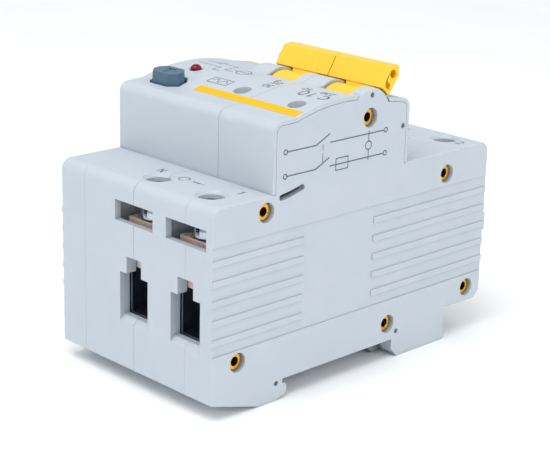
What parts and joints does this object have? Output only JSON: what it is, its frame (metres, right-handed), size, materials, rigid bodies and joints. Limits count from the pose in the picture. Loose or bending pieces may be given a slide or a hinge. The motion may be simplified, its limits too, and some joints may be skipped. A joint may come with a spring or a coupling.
{
  "type": "residual current circuit breaker",
  "caption": "Rail-mounted residual current breaker with overcurrent release, tied toggle handles, test button and screw terminals.",
  "frame": {"origin": "middle of the rail seat, on the plane that the rail's lips rest against", "axes": "+X along the rail to the pole side, +Y to the load end, +Z to the front where the handle is"},
  "size_m": [0.054, 0.0939, 0.0742],
  "materials": {
    "housing": "fine satin, pale blue-grey",
    "cover": "fine satin, pale blue-grey",
    "handle": "smooth yellow-orange",
    "button": "slate blue-grey",
    "lamp": "dark red translucent",
    "clip": "grey",
    "mechanism": "dark moulded",
    "fibre": "brown fibre board",
    "brass": "turned",
    "copper": "bright copper",
    "steel": "zinc plated",
    "dark_steel": "blued, zinc-nickel",
    "spring_steel": "drawn wire",
    "bimetal": "rolled strip",
    "winding": "lacquered copper wire",
    "core": "wound strip in a case",
    "board": "laminate",
    "components": "moulded",
    "wire": "wire insulation"
  },
  "bodies": {
    "housing": {"left_cover": "cover", "right_cover": "cover", "left_shell": "housing", "right_shell": "housing", "tube_rivets": "brass", "lever_axle": "steel", "fixed_contact_n": "copper", "fixed_contact_l": "copper", "primary_wire_n": "wire", "primary_wire_l": "wire", "magnetic_coil": "copper", "magnetic_yoke": "dark_steel", "bimetal_bracket": "steel", "bimetal_strip": "bimetal", "calibration_screw": "brass", "arc_plates": "dark_steel", "arc_cheeks": "fibre", "arc_runner": "steel", "toroid_core": "core", "toroid_winding": "winding", "circuit_board": "board", "board_components": "components", "relay_coil": "winding", "relay_frame": "dark_steel", "test_contact": "copper", "fault_lamp": "lamp", "bar_near_n": "copper", "bar_near_l": "copper", "bar_far_n": "copper", "bar_far_l": "copper"},
    "handle": {"handle_n": "handle", "handle_l": "handle", "handle_tie_pin": "steel", "handle_spring_n": "spring_steel", "handle_spring_l": "spring_steel"},
    "link_n": {"link_n": "steel"},
    "link_l": {"link_l": "steel"},
    "contact_lever_n": {"carrier_n": "mechanism", "contact_arm_n": "copper", "contact_spring_n": "spring_steel", "braid_n": "copper"},
    "contact_lever_l": {"carrier_l": "mechanism", "contact_arm_l": "copper", "contact_spring_l": "spring_steel", "braid_l": "copper"},
    "test_button": {"test_button": "button", "test_spring": "spring_steel"},
    "relay_plunger": {"relay_plunger": "steel"},
    "magnetic_plunger": {"magnetic_plunger": "steel"},
    "trip_bar": {"trip_bar": "mechanism"},
    "rail_clip_n": {"rail_clip_n": "clip"},
    "rail_clip_l": {"rail_clip_l": "clip"},
    "screw_near_n": {"screw_near_n": "steel"},
    "clamp_near_n": {"clamp_near_n": "dark_steel"},
    "screw_near_l": {"screw_near_l": "steel"},
    "clamp_near_l": {"clamp_near_l": "dark_steel"},
    "screw_far_n": {"screw_far_n": "steel"},
    "clamp_far_n": {"clamp_far_n": "dark_steel"},
    "screw_far_l": {"screw_far_l": "steel"},
    "clamp_far_l": {"clamp_far_l": "dark_steel"}
  },
  "joints": [
    {"name": "handle_turn", "type": "hinge", "parent": "housing", "child": "handle", "pos_m": [0.009, 0.00875, 0.0579], "axis": [1, 0, 0], "range_deg": [0, 65], "deforming": ["handle_spring_n", "handle_spring_l"]},
    {"name": "link_n_turn", "type": "hinge", "parent": "handle", "child": "link_n", "pos_m": [0.0016, 0.00434, 0.05098], "axis": [1, 0, 0], "range_deg": [-94.2, 0]},
    {"name": "contact_n_turn", "type": "hinge", "parent": "housing", "child": "contact_lever_n", "pos_m": [0, 0.00875, 0.034], "axis": [1, 0, 0], "range_deg": [-29, 0], "deforming": ["contact_spring_n", "braid_n"]},
    {"name": "link_l_turn", "type": "hinge", "parent": "handle", "child": "link_l", "pos_m": [0.0196, 0.00434, 0.05098], "axis": [1, 0, 0], "range_deg": [-94.2, 0]},
    {"name": "contact_l_turn", "type": "hinge", "parent": "housing", "child": "contact_lever_l", "pos_m": [0.018, 0.00875, 0.034], "axis": [1, 0, 0], "range_deg": [-29, 0], "deforming": ["contact_spring_l", "braid_l"]},
    {"name": "screw_near_n_turn", "type": "hinge", "parent": "housing", "child": "screw_near_n", "pos_m": [0, -0.03225, 0.0372], "axis": [0, 0, -1], "range_deg": [0, 1800.2]},
    {"name": "clamp_near_n_rise", "type": "slide", "parent": "housing", "child": "clamp_near_n", "axis": [0, 0, 1], "range_m": [0, 0.004]},
    {"name": "screw_near_l_turn", "type": "hinge", "parent": "housing", "child": "screw_near_l", "pos_m": [0.018, -0.03225, 0.0372], "axis": [0, 0, -1], "range_deg": [0, 1800.2]},
    {"name": "clamp_near_l_rise", "type": "slide", "parent": "housing", "child": "clamp_near_l", "axis": [0, 0, 1], "range_m": [0, 0.004]},
    {"name": "screw_far_n_turn", "type": "hinge", "parent": "housing", "child": "screw_far_n", "pos_m": [0, 0.047, 0.0372], "axis": [0, 0, -1], "range_deg": [0, 1800.2]},
    {"name": "clamp_far_n_rise", "type": "slide", "parent": "housing", "child": "clamp_far_n", "axis": [0, 0, 1], "range_m": [0, 0.004]},
    {"name": "screw_far_l_turn", "type": "hinge", "parent": "housing", "child": "screw_far_l", "pos_m": [0.018, 0.047, 0.0372], "axis": [0, 0, -1], "range_deg": [0, 1800.2]},
    {"name": "clamp_far_l_rise", "type": "slide", "parent": "housing", "child": "clamp_far_l", "axis": [0, 0, 1], "range_m": [0, 0.004]},
    {"name": "test_press", "type": "slide", "parent": "housing", "child": "test_button", "axis": [0, 0, -1], "range_m": [0, 0.0015], "stiffness_N_per_m": 800, "springref_m": -0.001, "deforming": ["test_spring"]},
    {"name": "relay_push", "type": "slide", "parent": "housing", "child": "relay_plunger", "axis": [0, 1, 0], "range_m": [0, 0.0012], "stiffness_N_per_m": 300, "springref_m": -0.0005},
    {"name": "magnetic_push", "type": "slide", "parent": "housing", "child": "magnetic_plunger", "axis": [0, 1, 0], "range_m": [0, 0.0012], "stiffness_N_per_m": 400, "springref_m": -0.0005},
    {"name": "trip_bar_turn", "type": "hinge", "parent": "housing", "child": "trip_bar", "pos_m": [0, -0.0005, 0.047], "axis": [1, 0, 0], "range_deg": [0, 8], "stiffness_Nm_per_rad": 0.02, "springref_deg": -5.73},
    {"name": "rail_clip_n_pull", "type": "slide", "parent": "housing", "child": "rail_clip_n", "axis": [0, 1, 0], "range_m": [0, 0.0035], "stiffness_N_per_m": 2500, "springref_m": -0.002},
    {"name": "rail_clip_l_pull", "type": "slide", "parent": "housing", "child": "rail_clip_l", "axis": [0, 1, 0], "range_m": [0, 0.0035], "stiffness_N_per_m": 2500, "springref_m": -0.002}
  ],
  "couplings": [
    {"joint": "link_n_turn", "follows": "handle_turn", "ratio": -1.4492},
    {"joint": "contact_n_turn", "follows": "handle_turn", "ratio": -0.44615},
    {"joint": "link_l_turn", "follows": "handle_turn", "ratio": -1.4492},
    {"joint": "contact_l_turn", "follows": "handle_turn", "ratio": -0.44615},
    {"joint": "screw_near_n_turn", "follows": "clamp_near_n_rise", "rad_per_m": 7854},
    {"joint": "screw_near_l_turn", "follows": "clamp_near_l_rise", "rad_per_m": 7854},
    {"joint": "screw_far_n_turn", "follows": "clamp_far_n_rise", "rad_per_m": 7854},
    {"joint": "screw_far_l_turn", "follows": "clamp_far_l_rise", "rad_per_m": 7854}
  ]
}
